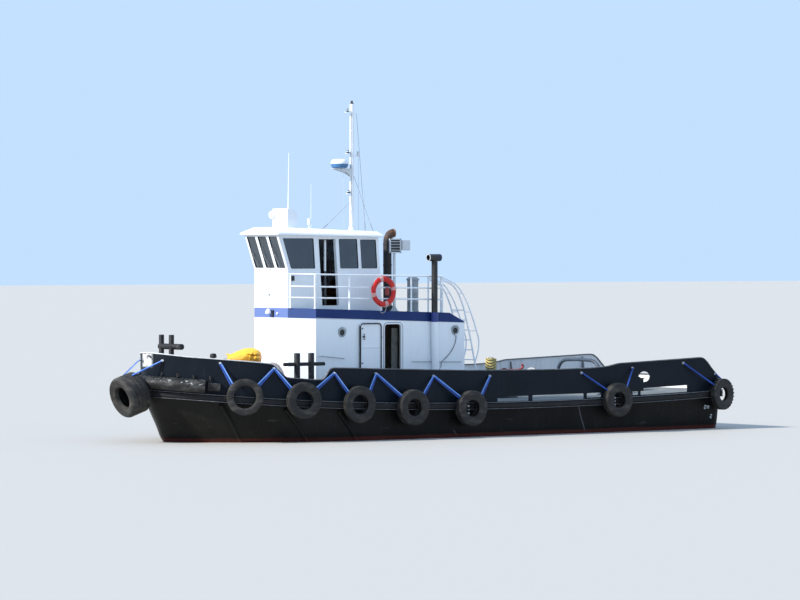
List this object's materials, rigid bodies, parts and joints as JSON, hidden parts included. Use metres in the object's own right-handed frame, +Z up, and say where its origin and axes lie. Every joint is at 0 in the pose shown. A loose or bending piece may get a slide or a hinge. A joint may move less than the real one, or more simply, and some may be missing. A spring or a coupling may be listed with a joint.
{
  "type": "harbour tugboat",
  "caption": "Small steel harbour tug with a two-level deckhouse, towing gear, bow rubber, tyre fenders on straps, a mast and a single screw with a rudder.",
  "frame": {"origin": "on the waterline, amidships, on the centreline", "axes": "+X to the bow, +Y to port, +Z up"},
  "size_m": [18.5498, 5.744, 10.8],
  "materials": {
    "hull_paint": "satin black, scuffed",
    "antifouling": "matt red",
    "deck_paint": "matt non-slip grey",
    "white_paint": "satin white",
    "blue_paint": "satin navy blue",
    "grey_paint": "satin grey",
    "black_paint": "satin black",
    "red_paint": "worn red",
    "galvanised_steel": "galvanised",
    "bronze": "cast bronze",
    "fender_rubber": "matt black rubber",
    "tyre": "weathered rubber",
    "cable_jacket": "matt",
    "white_plastic": "gloss",
    "orange_plastic": "satin orange",
    "yellow_fabric": "coated yellow cloth",
    "rope": "laid rope",
    "blue_webbing": "woven blue webbing",
    "window_glass": "clear",
    "cabin_lining": "matt"
  },
  "bodies": {
    "root": {"hull": "hull_paint", "belting_port": "fender_rubber", "belting_starboard": "fender_rubber", "bow_fender": "fender_rubber", "bulwark_bow": "hull_paint", "bulwark_port": "hull_paint", "bulwark_starboard": "hull_paint", "bulwark_stern": "hull_paint", "deckhouse_front": "white_paint", "deckhouse_port": "white_paint", "deckhouse_starboard": "white_paint", "deckhouse_aft": "white_paint", "wall_cable": "cable_jacket", "deckhouse_top": "blue_paint", "wheelhouse_front": "white_paint", "wheelhouse_port": "white_paint", "wheelhouse_starboard": "white_paint", "wheelhouse_aft": "white_paint", "wheelhouse_roof": "white_paint", "roof_casing": "white_paint", "mast": "white_paint", "radar_dome": "white_plastic", "floodlight_post": "galvanised_steel", "exhaust_stack": "black_paint", "vent_drum": "grey_paint", "side_pipe": "black_paint", "guard_rail_port": "galvanised_steel", "guard_rail_starboard": "galvanised_steel", "aft_ladder": "galvanised_steel", "life_ring": "orange_plastic", "foredeck_bitt": "black_paint", "port_bitt": "black_paint", "starboard_bitt": "black_paint", "windlass_cover": "yellow_fabric", "foredeck_vent": "black_paint", "tow_post": "black_paint", "tow_arch": "black_paint", "coil_post": "black_paint", "rope_coil": "rope", "tyre_port_1": "tyre", "tyre_port_2": "tyre", "tyre_port_3": "tyre", "tyre_port_4": "tyre", "tyre_port_5": "tyre", "tyre_port_6": "tyre", "tyre_port_7": "tyre", "tyre_starboard_1": "tyre", "tyre_starboard_2": "tyre", "tyre_starboard_3": "tyre", "tyre_starboard_4": "tyre", "tyre_starboard_5": "tyre", "tyre_starboard_6": "tyre", "tyre_starboard_7": "tyre", "tyre_bow": "tyre"},
    "propeller": {"propeller": "bronze"},
    "rudder": {"rudder": "antifouling"},
    "deckhouse_door": {"deckhouse_door": "white_paint"},
    "wheelhouse_door": {"wheelhouse_door": "white_paint"},
    "tow_hook": {"tow_hook": "red_paint"},
    "hatch_lid": {"hatch_lid": "black_paint"}
  },
  "joints": [
    {"name": "propeller_shaft", "type": "hinge", "parent": "root", "child": "propeller", "pos_m": [-7.3, 0, -1.33], "axis": [1, 0, 0], "continuous": true},
    {"name": "rudder_stock", "type": "hinge", "parent": "root", "child": "rudder", "pos_m": [-7.98, 0, -1.2], "axis": [0, 0, 1], "range_deg": [-35, 35]},
    {"name": "deckhouse_door_hinge", "type": "hinge", "parent": "root", "child": "deckhouse_door", "pos_m": [1.99, 1.31, 2], "axis": [0, 0, 1], "range_deg": [0, 180]},
    {"name": "wheelhouse_door_slide", "type": "slide", "parent": "root", "child": "wheelhouse_door", "axis": [0.9995, 0, 0.0325], "range_m": [0, 0.64]},
    {"name": "tow_hook_swing", "type": "hinge", "parent": "root", "child": "tow_hook", "pos_m": [-3.1, 0, 1.638], "axis": [0, 0, 1], "range_deg": [-80, 80]},
    {"name": "hatch_hinge", "type": "hinge", "parent": "root", "child": "hatch_lid", "pos_m": [-6.855, 0, 1.36032], "axis": [0, 1, 0], "range_deg": [0, 110]}
  ]
}
